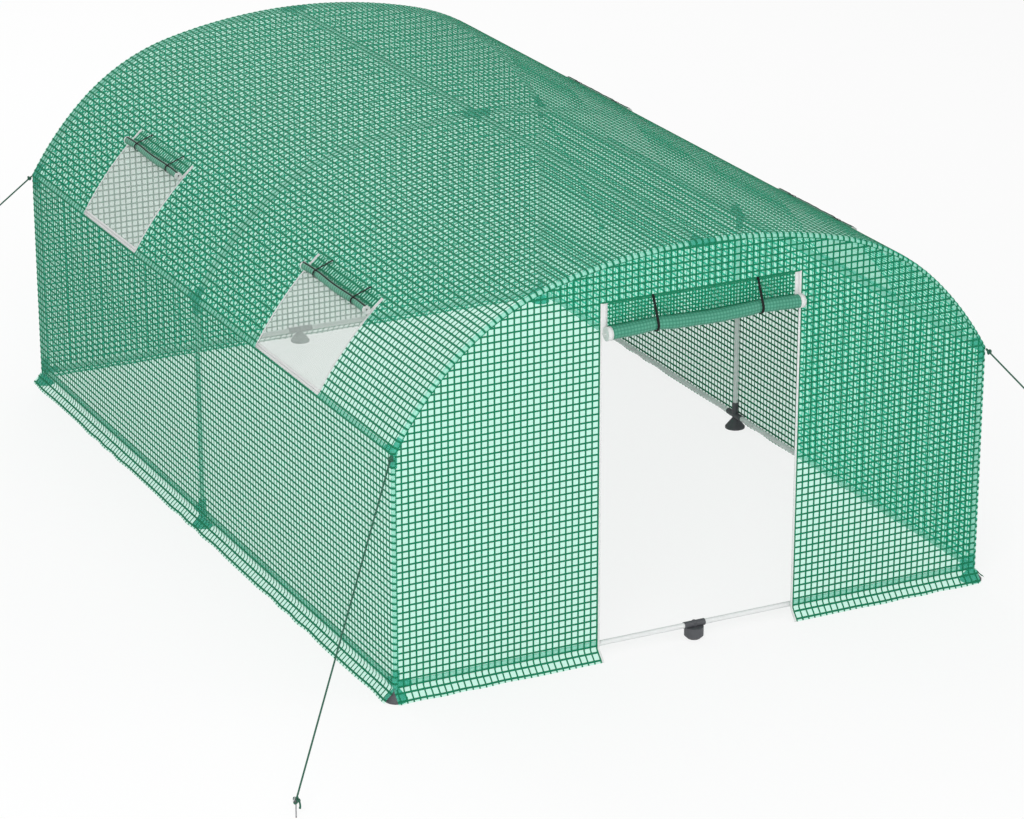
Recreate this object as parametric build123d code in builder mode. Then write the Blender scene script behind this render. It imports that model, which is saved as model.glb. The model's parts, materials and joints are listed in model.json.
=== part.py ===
from build123d import *
import os

# Hoops, measured between tube axes
hoop_span = 3000
tunnel_length = 4500
eave_height = 1170
ridge_height = 1900
rail_height = 70
tube_diameter = 25
# Two points that each half arch passes, as shares of the half span and of the rise above the eave
crown_point_shares = (0.48, 0.876)
shoulder_point_shares = (0.815, 0.489)

# Moulded connectors and feet
socket_wall = 3
socket_length = 70
socket_stop = 18
socket_gap = 0.5
hub_swell = 1
hub_chamfer = 8
arm_start = 5
foot_radius = 52
foot_rim = 8
# The front foot between the hoops, a deep cup under a short sleeve
sleeve_length = 53
cup_radius = 45
cup_base_radius = 30
cup_base_rise = 15
# Flats round each moulded socket
socket_sides = 16
# Flats round each bent tube
bow_sides = 12

# Cover sheets
film_thickness = 2
film_ease = 0.8
fit_gap = 0.3
skirt_clearance = 11
overrun = 100

# Doorway and its rolled-up flap
door_width = 1000
header_depth = 200
door_drop = 125
door_roll_diameter = 65
zip_width = 10
zip_thickness = 1.5
tie_width = 8
tie_thickness = 1.5
tie_anchor_rise = 12
door_tie_shares = (-0.25, 0.28)

# Roof windows, measured along the slope
window_width = 700
window_height = 510
window_sill_gap = 8
window_drop = 85
window_lap = 15
window_roll_diameter = 39
sill_tape_width = 25
side_tape_width = 11
tape_thickness = 1.5
window_tie_shares = (-0.3, 0.3)

# Guy ropes and ground pegs
guy_reach = 850
guy_drop = 10
rope_diameter = 6
peg_diameter = 6
peg_height = 75
peg_hook_radius = 12
peg_sides = 8

# Sizes that follow from the ones above
half_span = hoop_span / 2
half_length = tunnel_length / 2
rise = ridge_height - eave_height
tube_radius = tube_diameter / 2
socket_bore = tube_radius + socket_gap
socket_radius = socket_bore + socket_wall
hub_radius = socket_radius + hub_swell
cover_inner = hub_radius + film_ease
cover_outer = cover_inner + film_thickness
wall_inner = half_length + cover_inner
wall_outer = half_length + cover_outer
side_inner = half_span + cover_inner
side_outer = half_span + cover_outer
fold_height = rail_height - tube_radius
skirt_flare = foot_radius + skirt_clearance - cover_inner
door_half = door_width / 2
door_head = ridge_height - header_depth
door_roll_radius = door_roll_diameter / 2
door_roll_height = door_head - door_drop
door_roll_y = -(wall_outer + fit_gap + door_roll_radius)
window_roll_radius = window_roll_diameter / 2
tape_inner = cover_outer + fit_gap
tape_outer = tape_inner + tape_thickness
flap_outer = tape_inner + film_thickness
rope_radius = rope_diameter / 2
peg_radius = peg_diameter / 2

hoop_rows = {"front": -half_length, "middle": 0, "rear": half_length}
bay_rows = (-half_length / 2, half_length / 2)
sides = (-1, 1)

os.makedirs("parts", exist_ok=True)


def save(piece, node_name):
    piece.part.label = node_name
    export_step(piece.part, f"parts/{node_name}.step")


def save_pair(left_piece, node_name):
    # A left piece and its mirror image on the right
    save(left_piece, f"left_{node_name}")
    with BuildPart() as right_piece:
        mirror(left_piece.part, about=Plane.YZ)
    save(right_piece, f"right_{node_name}")


# The hoop's line: three tangent arcs from the ridge down to each knee

def arch_points(side):
    shares = (crown_point_shares, shoulder_point_shares)
    between = [(side * half_span * across, eave_height + rise * up) for across, up in shares]
    return [(0, ridge_height), *between, (side * half_span, eave_height)]


def turned(tangent, start, end):
    # An arc leaves its end as it met its start, mirrored about the chord
    chord = (Vector(end) - Vector(start)).normalized()
    return chord * (2 * tangent.dot(chord)) - tangent


def half_arch(side):
    points = arch_points(side)
    tangent = Vector(side, 0)
    for start, end in zip(points, points[1:]):
        TangentArc(start, end, tangent=tangent)
        tangent = turned(tangent, start, end)


with BuildLine() as left_arch:
    half_arch(-1)
with BuildLine() as right_arch:
    half_arch(1)
half_bows = {-1: left_arch.wire(), 1: right_arch.wire()}
arch_length = half_bows[-1].length


def arch_frame(distance):
    # Place, downhill direction and outward normal on the left half arch, measured from the ridge
    place = half_bows[-1] @ (distance / arch_length)
    downhill = half_bows[-1] % (distance / arch_length)
    outward = Vector(downhill.Y, -downhill.X)
    return place, downhill, outward


with BuildSketch() as hoop_face:
    with BuildLine():
        half_arch(-1)
        half_arch(1)
        Polyline((-half_span, eave_height), (-half_span, 0), (half_span, 0), (half_span, eave_height))
    make_face()


def grown_hoop(margin):
    # The closed hoop outline, moved outward by a margin
    return offset(hoop_face.sketch, amount=margin)


film_inner_face = grown_hoop(cover_inner)
film_outer_face = grown_hoop(cover_outer)
tape_inner_face = grown_hoop(tape_inner)
tape_outer_face = grown_hoop(tape_outer)
flap_outer_face = grown_hoop(flap_outer)
tie_seat_face = grown_hoop(flap_outer + fit_gap)


# Moulded sockets: each arm is a hub place and the direction that its tube leaves in

seat_middle = (socket_length + socket_stop) / 2


def arch_arm(y, side, at_ridge):
    # The socket is straight, so it follows the bow's direction halfway along the seat
    place, downhill, outward = arch_frame(seat_middle if at_ridge else arch_length - seat_middle)
    direction = downhill if at_ridge else -downhill
    hub = place - direction * seat_middle
    return Vector(-side * hub.X, y, hub.Y), Vector(-side * direction.X, 0, direction.Y)


def prism(place, direction, radius, length, mode=Mode.ADD, taper=0):
    # A many-sided bar that starts at a place
    with BuildSketch(Plane(origin=place, z_dir=direction)) as outline:
        RegularPolygon(radius, socket_sides)
    extrude(outline.sketch, amount=length, taper=taper, mode=mode)


def sockets(hub, barrel_direction, arms, reach=socket_length):
    # A short barrel at the hub, with a bored arm for each tube
    barrel_core = hub_radius - hub_chamfer
    for way in (barrel_direction, -barrel_direction):
        prism(hub, way, hub_radius, barrel_core)
        prism(hub + way * barrel_core, way, hub_radius, hub_chamfer, taper=45)
    for arm_hub, direction in arms:
        prism(arm_hub + direction * arm_start, direction, socket_radius, reach - arm_start)
    for arm_hub, direction in arms:
        prism(arm_hub + direction * socket_stop, direction, socket_bore, reach, Mode.SUBTRACT)


def length_arms(hub, y):
    # Sockets along the tunnel, only towards the next hoop
    arms = []
    if y > -half_length:
        arms.append((hub, Vector(0, -1, 0)))
    if y < half_length:
        arms.append((hub, Vector(0, 1, 0)))
    return arms


with BuildPart() as eave_connectors:
    for y in hoop_rows.values():
        hub = Vector(-half_span, y, eave_height)
        arms = [(hub, Vector(0, 0, -1)), arch_arm(y, -1, at_ridge=False)]
        sockets(hub, Vector(0, 1, 0), arms + length_arms(hub, y))
save_pair(eave_connectors, "eave_connectors")

with BuildPart() as ridge_connectors:
    for y in hoop_rows.values():
        hub = Vector(0, y, ridge_height)
        arms = [arch_arm(y, side, at_ridge=True) for side in sides]
        sockets(hub, Vector(0, 1, 0), arms + length_arms(hub, y))
save(ridge_connectors, "ridge_connectors")


# Feet: a round base under a hub that takes the rails and, at a hoop, the leg
flared_base = [(foot_radius, 0), (foot_radius, foot_rim)]
cup_base = [(cup_base_radius, 0), (cup_radius, cup_base_rise), (cup_radius, fold_height)]
neck_side = [(socket_bore, fold_height), (socket_bore, rail_height)]


def foot(x, y, base_side, arms, reach=socket_length):
    with BuildSketch(Plane(origin=(x, y, 0), x_dir=(1, 0, 0), z_dir=(0, -1, 0))) as base:
        Polygon((0, rail_height), (0, 0), *base_side, *neck_side, align=None)
    revolve(base.sketch, axis=Axis((x, y, 0), (0, 0, 1)))
    sockets(Vector(x, y, rail_height), Vector(0, 0, 1), arms, reach)


with BuildPart() as feet:
    for y in hoop_rows.values():
        hub = Vector(-half_span, y, rail_height)
        arms = [(hub, Vector(0, 0, 1)), *length_arms(hub, y)]
        if y != 0:
            arms.append((hub, Vector(1, 0, 0)))
        foot(-half_span, y, flared_base, arms)
save_pair(feet, "feet")

centre_feet = {"front": (cup_base, sleeve_length), "rear": (flared_base, socket_length)}

for row, (base_side, reach) in centre_feet.items():
    hub = Vector(0, hoop_rows[row], rail_height)
    with BuildPart() as centre_foot:
        foot(0, hub.Y, base_side, [(hub, Vector(side, 0, 0)) for side in sides], reach)
    save(centre_foot, f"{row}_centre_foot")


# Straight tubes, each ending at the bottom of a socket

def tube(start, end):
    run = end - start
    with Locations(Plane(origin=start + run.normalized() * socket_stop, z_dir=run)):
        Cylinder(
            tube_radius,
            run.length - socket_stop * 2,
            align=(Align.CENTER, Align.CENTER, Align.MIN),
        )


def length_tubes(x, z):
    rows = list(hoop_rows.values())
    for start, end in zip(rows, rows[1:]):
        tube(Vector(x, start, z), Vector(x, end, z))


with BuildPart() as legs:
    for y in hoop_rows.values():
        tube(Vector(-half_span, y, rail_height), Vector(-half_span, y, eave_height))
save_pair(legs, "legs")

with BuildPart() as eave_rail:
    length_tubes(-half_span, eave_height)
save_pair(eave_rail, "eave_rail")

with BuildPart() as base_rail:
    length_tubes(-half_span, rail_height)
save_pair(base_rail, "base_rail")

with BuildPart() as ridge_pole:
    length_tubes(0, ridge_height)
save(ridge_pole, "ridge_pole")

for row in ("front", "rear"):
    y = hoop_rows[row]
    with BuildPart() as end_rail:
        for side in sides:
            tube(Vector(side * half_span, y, rail_height), Vector(0, y, rail_height))
    save(end_rail, f"{row}_base_rail")


# Roof bows: two bent tubes on each hoop, cut off square at the bottom of their sockets
cut_size = tube_diameter * 2

for row, y in hoop_rows.items():
    with BuildPart() as arch:
        for side in sides:
            bow = half_bows[side].moved(Plane.XZ.offset(-y).location)
            with BuildSketch(Plane(origin=bow @ 0, z_dir=bow % 0)):
                RegularPolygon(tube_radius, bow_sides)
            sweep(path=bow)
        for side in sides:
            for at_ridge in (False, True):
                hub, direction = arch_arm(y, side, at_ridge)
                with Locations(Plane(origin=hub, z_dir=direction)):
                    Box(cut_size, cut_size, socket_stop * 2, mode=Mode.SUBTRACT)
    save(arch, f"{row}_arch")


# Side and roof sheets over the hoops

def slope_block(top, bottom, mode=Mode.ADD):
    # A four-cornered block across the sheet, square to the slope at both ends
    top_place, top_downhill, top_outward = arch_frame(top)
    low_place, low_downhill, low_outward = arch_frame(bottom)
    corners = [
        top_place - top_outward * block_depth,
        top_place + top_outward * block_depth,
        low_place + low_outward * block_depth,
        low_place - low_outward * block_depth,
    ]
    Polygon(*[(corner.X, corner.Y) for corner in corners], align=None, mode=mode)


window_bottom = arch_length - window_sill_gap
window_top = window_bottom - window_height
block_depth = window_height / 2

with BuildPart() as side_cover:
    with Locations((-(side_inner + side_outer) / 2, 0, (fold_height + eave_height) / 2)):
        Box(film_thickness, wall_inner * 2, eave_height - fold_height)
save_pair(side_cover, "side_cover")

with BuildPart() as roof_cover:
    with BuildSketch(Plane.XZ):
        add(film_outer_face)
        add(film_inner_face, mode=Mode.SUBTRACT)
        with Locations((0, eave_height)):
            Rectangle(hoop_span, ridge_height, align=(Align.MAX, Align.MIN), mode=Mode.INTERSECT)
    extrude(amount=wall_inner, both=True)
    for y in bay_rows:
        with BuildSketch(Plane.XZ.offset(-y)):
            slope_block(window_top, window_bottom)
        extrude(amount=window_width / 2, both=True, mode=Mode.SUBTRACT)
save_pair(roof_cover, "roof_cover")

with BuildPart() as window_screens:
    for y in bay_rows:
        with BuildSketch(Plane.XZ.offset(-y)):
            add(film_outer_face)
            add(film_inner_face, mode=Mode.SUBTRACT)
            slope_block(window_top + fit_gap, window_bottom - fit_gap, mode=Mode.INTERSECT)
        extrude(amount=window_width / 2 - fit_gap, both=True)
save_pair(window_screens, "window_screens")

# Edging tapes down both sides of a window and along its sill, which reaches to the knee
with BuildPart() as window_tapes:
    for y in bay_rows:
        with BuildSketch(Plane.XZ.offset(-y)):
            add(tape_outer_face)
            add(tape_inner_face, mode=Mode.SUBTRACT)
            slope_block(window_top, arch_length, mode=Mode.INTERSECT)
        extrude(amount=window_width / 2 + side_tape_width, both=True)
        with BuildSketch(Plane.XZ.offset(-y)):
            slope_block(window_top - sill_tape_width, arch_length - sill_tape_width)
        extrude(amount=window_width / 2, both=True, mode=Mode.SUBTRACT)
save_pair(window_tapes, "window_tapes")

# Window flaps, each sewn on above its window and rolled up over the top of the screen
roll_seat, roll_downhill, roll_outward = arch_frame(window_top + window_drop)
window_roll_place = roll_seat + roll_outward * (flap_outer + window_roll_radius - film_thickness / 2)
seam_place, seam_downhill, seam_outward = arch_frame(window_top - tie_anchor_rise)
window_tie_anchor = seam_place + seam_outward * flap_outer

with BuildPart() as window_rolls:
    for y in bay_rows:
        with BuildSketch(Plane.XZ.offset(-y)):
            add(flap_outer_face)
            add(tape_inner_face, mode=Mode.SUBTRACT)
            slope_block(window_top - window_lap, window_top + window_drop, mode=Mode.INTERSECT)
            with Locations((window_roll_place.X, window_roll_place.Y)):
                Circle(window_roll_radius)
        extrude(amount=window_width / 2 - fit_gap, both=True)
save_pair(window_rolls, "window_rolls")


def strap_hull(roll_place, roll_radius, anchor, margin):
    # Outline pulled tight from an anchor down round a roll
    with BuildSketch() as hull:
        with Locations((roll_place.X, roll_place.Y)):
            Circle(roll_radius + margin)
        with Locations((anchor.X, anchor.Y)):
            Circle(margin)
        make_hull()
    return hull.sketch


def strap(roll_place, roll_radius, anchor):
    add(strap_hull(roll_place, roll_radius, anchor, fit_gap + tie_thickness))
    add(strap_hull(roll_place, roll_radius, anchor, fit_gap), mode=Mode.SUBTRACT)


with BuildPart() as window_ties:
    for y in bay_rows:
        for share in window_tie_shares:
            with BuildSketch(Plane.XZ.offset(-(y + share * window_width))):
                strap(window_roll_place, window_roll_radius, window_tie_anchor)
                add(tie_seat_face, mode=Mode.SUBTRACT)
            extrude(amount=tie_width / 2, both=True)
save_pair(window_ties, "window_ties")


# End walls, each a sheet stretched over the hoop's outside
wall_reach = side_outer + overrun
wall_sheets = {
    "front_wall_left": (-1, -wall_reach, -door_half, fold_height),
    "front_wall_header": (-1, -door_half, door_half, door_head),
    "front_wall_right": (-1, door_half, wall_reach, fold_height),
    "rear_wall": (1, -wall_reach, wall_reach, fold_height),
}

for node_name, (end, low_x, high_x, low_z) in wall_sheets.items():
    with BuildPart() as wall:
        with BuildSketch(Plane.XZ.offset(-end * wall_inner)):
            add(film_outer_face)
            with Locations((low_x, low_z)):
                Rectangle(
                    high_x - low_x,
                    ridge_height + overrun - low_z,
                    align=Align.MIN,
                    mode=Mode.INTERSECT,
                )
        extrude(amount=-end * film_thickness)
    save(wall, node_name)


# Skirts: the sheet's lower edge, spread outward from the rail to the ground

def skirt_profile(inner):
    Polygon(
        (-inner, fold_height),
        (-inner - film_thickness, fold_height),
        (-inner - film_thickness - skirt_flare, 0),
        (-inner - skirt_flare, 0),
        align=None,
    )


with BuildPart() as skirt:
    with BuildSketch(Plane.XZ):
        skirt_profile(side_inner)
    extrude(amount=wall_inner, both=True)
save_pair(skirt, "skirt")

with BuildPart() as front_skirts:
    for side in sides:
        with BuildSketch(Plane.YZ.offset(side * door_half)):
            skirt_profile(wall_inner)
        extrude(amount=side * (side_inner - door_half))
save(front_skirts, "front_skirts")

with BuildPart() as rear_skirt:
    with BuildSketch(Plane.YZ):
        skirt_profile(wall_inner)
    extrude(amount=side_inner, both=True)
    mirror(about=Plane.XZ, mode=Mode.REPLACE)
save(rear_skirt, "rear_skirt")


# Door flap, rolled up under the header
with BuildPart() as door_flap:
    with Locations((0, -(wall_inner + wall_outer) / 2, door_head)):
        Box(
            door_width - fit_gap * 2,
            film_thickness,
            door_drop,
            align=(Align.CENTER, Align.CENTER, Align.MAX),
        )
save(door_flap, "door_flap")

with BuildPart() as door_roll:
    with BuildSketch(Plane.YZ):
        with Locations((door_roll_y, door_roll_height)):
            Circle(door_roll_radius)
    extrude(amount=door_half, both=True)
save(door_roll, "door_roll")

with BuildPart() as door_zips:
    for side in sides:
        with Locations((side * (door_half + zip_width / 2), -wall_outer, fold_height)):
            Box(
                zip_width,
                zip_thickness,
                door_head - fold_height,
                align=(Align.CENTER, Align.MAX, Align.MIN),
            )
save(door_zips, "door_zips")


door_roll_place = Vector(door_roll_y, door_roll_height)
door_tie_anchor = Vector(-wall_outer, door_head + tie_anchor_rise)

with BuildPart() as door_ties:
    for share in door_tie_shares:
        with BuildSketch(Plane.YZ.offset(share * door_width)):
            strap(door_roll_place, door_roll_radius, door_tie_anchor)
            with Locations((-wall_outer, 0)):
                Rectangle(door_width, ridge_height, align=Align.MIN, mode=Mode.SUBTRACT)
        extrude(amount=tie_width / 2, both=True)
save(door_ties, "door_ties")


# Guy ropes from the corner knees to hooked pegs in the ground
corners = [(x_side, y_side) for x_side in sides for y_side in sides]


def guy_line(x_side, y_side):
    # Top and foot of one rope, drawn in from both seats by what its slanted ends take up
    outward = Vector(x_side, y_side, 0).normalized()
    knee = Vector(x_side * side_outer, y_side * wall_outer, eave_height - guy_drop)
    peg = Vector(x_side * (half_span + guy_reach), y_side * (half_length + guy_reach), peg_height)
    slope = abs((peg - knee).normalized().Z)
    end_reach = rope_radius * slope + fit_gap
    return knee + outward * end_reach, peg - outward * (end_reach + peg_radius), peg, outward


with BuildPart() as guy_ropes:
    for corner in corners:
        top, foot_end, peg, outward = guy_line(*corner)
        with Locations(Plane(origin=top, z_dir=foot_end - top)):
            Cylinder(
                rope_radius,
                (foot_end - top).length,
                align=(Align.CENTER, Align.CENTER, Align.MIN),
            )
save(guy_ropes, "guy_ropes")

with BuildPart() as guy_pegs:
    for corner in corners:
        top, foot_end, peg, outward = guy_line(*corner)
        peg_plane = Plane(origin=(peg.X, peg.Y, 0), x_dir=outward, z_dir=outward.cross(Vector(0, 0, 1)))
        with BuildLine(peg_plane) as peg_line:
            Line((0, 0), (0, peg_height + rope_diameter))
            TangentArc(
                (0, peg_height + rope_diameter),
                (peg_hook_radius * 2, peg_height + rope_diameter),
                tangent=Vector(0, 0, 1),
            )
        with BuildSketch(Plane(origin=(peg.X, peg.Y, 0), x_dir=outward)):
            RegularPolygon(peg_radius, peg_sides)
        sweep(path=peg_line.line)
save(guy_pegs, "guy_pegs")
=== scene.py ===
import json
import math
import bpy
import numpy as np
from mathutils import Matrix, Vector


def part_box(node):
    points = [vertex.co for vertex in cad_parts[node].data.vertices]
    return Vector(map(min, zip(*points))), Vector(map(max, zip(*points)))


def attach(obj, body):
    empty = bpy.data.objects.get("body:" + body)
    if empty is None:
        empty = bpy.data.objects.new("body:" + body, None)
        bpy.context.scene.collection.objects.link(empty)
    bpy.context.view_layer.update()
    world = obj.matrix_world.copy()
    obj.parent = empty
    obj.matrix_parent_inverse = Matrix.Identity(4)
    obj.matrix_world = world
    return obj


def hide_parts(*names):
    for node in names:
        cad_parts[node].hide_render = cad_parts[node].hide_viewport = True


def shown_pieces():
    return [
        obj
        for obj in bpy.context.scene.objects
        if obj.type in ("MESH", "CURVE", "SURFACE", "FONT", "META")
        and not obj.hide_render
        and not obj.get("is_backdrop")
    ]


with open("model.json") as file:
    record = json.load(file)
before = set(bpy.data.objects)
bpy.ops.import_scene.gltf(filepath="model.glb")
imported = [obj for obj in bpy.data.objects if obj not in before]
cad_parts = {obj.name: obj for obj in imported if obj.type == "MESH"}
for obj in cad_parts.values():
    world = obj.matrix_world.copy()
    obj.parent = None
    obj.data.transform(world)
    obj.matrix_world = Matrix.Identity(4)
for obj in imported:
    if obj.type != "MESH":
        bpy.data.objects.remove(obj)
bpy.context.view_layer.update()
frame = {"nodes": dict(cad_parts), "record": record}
scene = bpy.context.scene
scene.view_settings.view_transform = "Standard"
print("frame loaded,", len(frame["nodes"]), "nodes")


def middleOf(node, axis):
    low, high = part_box(node)
    return (low[axis] + high[axis]) / 2


def spanOf(node, axis):
    low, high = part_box(node)
    return high[axis] - low[axis]


# tube axes of the hoops, read from the frame
hoop = {
    "halfSpan": middleOf("right_base_rail", 0),
    "halfLength": -middleOf("front_base_rail", 1),
    "eave": middleOf("left_eave_rail", 2),
    "ridge": middleOf("ridge_pole", 2),
    "tube": spanOf("ridge_pole", 0) / 2,
    "fold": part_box("left_side_cover")[0][2],
    "crown": (0.48, 0.876),  # shares of half span and rise where two arcs meet
    "shoulder": (0.815, 0.489),
    "arcSteps": 9,
    "kneeSteps": 5,
    "stop": 0.02,  # from the hoop's corner to the tube's end in its socket
    "sides": 16,
}
filmOut = -middleOf("left_side_cover", 0) - hoop["halfSpan"]  # film's distance from the tube axes
wallY = hoop["halfLength"] + filmOut
sideX = hoop["halfSpan"] + filmOut
pitch = 0.032  # grid of the reinforcing threads
upward = np.array((0.0, 0.0, 1.0))
rightward = np.array((1.0, 0.0, 0.0))
rearward = np.array((0.0, 1.0, 0.0))


# surfaces as arrays: each is (points, faces, flat), where flat is metres across and along the piece

# Quads between neighbouring rows and columns of a grid of points; closed joins the last column to the
# first, and ring joins the last row to the first.
def gridFaces(rows, cols, closed=False, ring=False):
    i = np.arange(rows if ring else rows - 1)[:, None]
    j = np.arange(cols if closed else cols - 1)[None, :]
    below, beside = (i + 1) % rows, (j + 1) % cols
    corners = [i * cols + j, i * cols + beside, below * cols + beside, below * cols + j]
    return np.stack(corners, -1).reshape(-1, 4)


def unit(vectors):
    return vectors / np.linalg.norm(vectors, axis=-1, keepdims=True)


def stacked(*arrays):  # points from arrays of their coordinates
    return np.stack(np.broadcast_arrays(*arrays), -1)


def runAlong(paths):
    steps = np.linalg.norm(np.diff(paths, axis=1), axis=2)
    return np.concatenate([np.zeros((len(paths), 1)), np.cumsum(steps, axis=1)], axis=1)


# Sheet over a grid of places (rows, cols, 3).
def cloth(places, across, along, flip=False):
    faces = gridFaces(*places.shape[:2])
    flat = stacked(across, along)
    return places.reshape(-1, 3), faces[:, ::-1] if flip else faces, flat.reshape(-1, 2)


# Flat bands: each path (m, k, 3) carries a rectangle, side * width/2 +- normal * thick/2, and a quad
# closes both ends.  The side is turned about where needed, so that the faces point outwards.
def bands(paths, side, normal, width, thick):
    m, k, _ = paths.shape
    side, normal = np.broadcast_to(side, paths.shape), np.broadcast_to(normal, paths.shape)
    hand = np.sign((np.cross(side, normal) * np.gradient(paths, axis=1)).sum((1, 2)))
    side = side * hand[:, None, None] * (width / 2)
    normal = normal * (thick / 2)
    low, high = paths - normal, paths + normal
    places = np.stack([low - side, low + side, high + side, high - side], 2)
    across = np.array((-0.5, 0.5, 0.5, -0.5)) * width
    flat = stacked(across, runAlong(paths)[:, :, None])
    end = np.arange(4)
    one = np.concatenate([gridFaces(k, 4, closed=True), end[None, ::-1], end[None] + 4 * (k - 1)])
    faces = (np.arange(m) * k * 4)[:, None, None] + one
    return places.reshape(-1, 3), faces.reshape(-1, 4), flat.reshape(-1, 2)


# Round rods: each path (m, k, 3) carries a circle, in the frame made from its tangent and one steady
# direction.  A ring closes on itself; other rods have both ends closed by a strip of quads.
def rods(paths, radius, sides, steady, ring=False):
    m, k, _ = paths.shape
    tangent = unit(np.roll(paths, -1, 1) - np.roll(paths, 1, 1) if ring else np.gradient(paths, axis=1))
    first = unit(np.cross(np.broadcast_to(steady, tangent.shape), tangent))
    second = np.cross(tangent, first)
    turn = np.linspace(0, 2 * np.pi, sides, endpoint=False)
    radius = np.broadcast_to(radius, (m, k))[:, :, None]
    spokes = first[:, :, None] * np.cos(turn)[:, None] + second[:, :, None] * np.sin(turn)[:, None]
    places = paths[:, :, None] + radius[..., None] * spokes
    flat = stacked(turn * radius, runAlong(paths)[:, :, None])
    one = gridFaces(k, sides, closed=True, ring=ring)
    if not ring:
        j = np.arange(1, sides - 2, 2)
        cap = np.stack([np.zeros_like(j), j, j + 1, j + 2], -1)
        one = np.concatenate([one, cap[:, ::-1], cap + (k - 1) * sides])
    faces = (np.arange(m) * k * sides)[:, None, None] + one
    return places.reshape(-1, 3), faces.reshape(-1, 4), flat.reshape(-1, 2)


def joined(parts):
    starts = np.cumsum([0] + [len(part[0]) for part in parts[:-1]])
    faces = np.concatenate([part[1] + start for part, start in zip(parts, starts)])
    return np.concatenate([part[0] for part in parts]), faces, np.concatenate([part[2] for part in parts])


def putPiece(name, surface, finish, replaced=(), smooth=False):
    points, faces, flat = surface
    mesh = bpy.data.meshes.new(name)
    mesh.from_pydata(points.tolist(), [], faces.tolist())
    mesh.polygons.foreach_set("use_smooth", np.full(len(faces), smooth))
    layer = mesh.uv_layers.new(name="flat")
    layer.data.foreach_set("uv", flat[faces.ravel()].ravel())
    mesh.validate()
    mesh.update()
    piece = bpy.data.objects.new(name, mesh)
    scene.collection.objects.link(piece)
    mesh.materials.append(finish)
    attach(piece, "root")
    if replaced:
        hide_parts(*replaced)
    return piece


# finishes

class Sock:  # a node's output that takes part in Python expressions
    def __init__(self, tree, link):
        self.tree = tree
        self.link = link

    def add(self, kind, settings=None, sockets=None, out=0):
        node = self.tree.nodes.new(kind)
        for key, value in (settings or {}).items():
            setattr(node, key, value)
        for key, value in (sockets or {}).items():
            if isinstance(value, Sock):
                self.tree.links.new(value.link, node.inputs[key])
            else:
                node.inputs[key].default_value = value
        return Sock(self.tree, node.outputs[out])

    def maths(self, operation, *values):
        return self.add("ShaderNodeMath", {"operation": operation}, dict(enumerate(values)))

    def __add__(self, other):
        return self.maths("ADD", self, other)

    def __sub__(self, other):
        return self.maths("SUBTRACT", self, other)

    def __rsub__(self, other):
        return self.maths("SUBTRACT", other, self)

    def __mul__(self, other):
        return self.maths("MULTIPLY", self, other)

    __radd__ = __add__
    __rmul__ = __mul__

    def sine(self):
        return self.maths("SINE", self)

    def size(self):
        return self.maths("ABSOLUTE", self)

    def noise(self, scale, detail=3.0, rough=0.5):
        sockets = {"Vector": self, "Scale": scale, "Detail": detail, "Roughness": rough}
        return self.add("ShaderNodeTexNoise", {}, sockets)

    def part(self, axis):
        return self.add("ShaderNodeSeparateXYZ", {}, {0: self}, out=axis)

    def flat(self):  # metres across and along the piece
        return self.add("ShaderNodeUVMap", {"uv_map": "flat"})

    def wave(self, axis, length, shift=0.0):
        return (self.part(axis) * (2 * math.pi / length) + shift).sine()

    def blend(self, low, high):  # colour between two, by this factor
        return self.add("ShaderNodeMix", {"data_type": "RGBA"}, {0: self, 6: low, 7: high}, out=2)

    def bump(self, strength, distance):
        return self.add("ShaderNodeBump", {}, {"Strength": strength, "Distance": distance, "Height": self})


def newFinish(name, **constants):
    finish = bpy.data.materials.new(name)
    finish.use_nodes = True
    tree = finish.node_tree
    shader = tree.nodes["Principled BSDF"]
    for key, value in constants.items():
        shader.inputs[key.replace("_", " ")].default_value = value
    here = Sock(tree, tree.nodes.new("ShaderNodeTexCoord").outputs["Object"])

    def wear(**links):
        for key, value in links.items():
            tree.links.new(value.link, shader.inputs[key.replace("_", " ")])
        return finish
    return here, wear


def rgb(red, green, blue):
    return (red, green, blue, 1.0)


# clear film, a little pillowed between the threads
def filmFinish():
    here, wear = newFinish("mint film", Alpha=0.35, IOR=1.45, Specular_IOR_Level=0.2)
    flat = here.flat()
    pillow = flat.wave(0, 2 * pitch).size() * flat.wave(1, 2 * pitch).size()
    crinkle = here.noise(38.0, 4.0, 0.6)
    return wear(
        Base_Color=here.noise(2.1).blend(rgb(0.03, 0.84, 0.52), rgb(0.07, 0.94, 0.62)),
        Roughness=0.22 + 0.25 * here.noise(9.0),
        Normal=(pillow * 0.7 + crinkle * 0.4).bump(0.35, 0.004),
    )


# flat yarn of the grid: fine filaments along its length
def threadFinish(name, dark, light):
    here, wear = newFinish(name, Specular_IOR_Level=0.12)
    yarn = here.noise(900.0, 2.0)
    filaments = here.flat().wave(0, 0.0012)
    return wear(
        Base_Color=(0.6 * here.noise(7.0) + 0.4 * yarn).blend(dark, light),
        Roughness=0.55 + 0.25 * yarn,
        Normal=(yarn + 0.5 * filaments).bump(0.25, 0.0006),
    )


# the rolled flaps: many layers of film, so no longer clear, with pale cells between the threads
def rollFinish(name, across, along, dark, light):
    here, wear = newFinish(name, Specular_IOR_Level=0.3)
    flat = here.flat()
    cells = flat.wave(0, 2 * across, 0.9).size() * flat.wave(1, 2 * along, 0.6).size()
    layers = here.noise(17.0)
    return wear(
        Base_Color=(cells * (0.55 + 0.6 * layers)).blend(dark, light),
        Roughness=0.3 + 0.3 * layers,
        Normal=(here.noise(60.0, 4.0, 0.6) - 0.3 * cells).bump(0.5, 0.004),
    )


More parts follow.
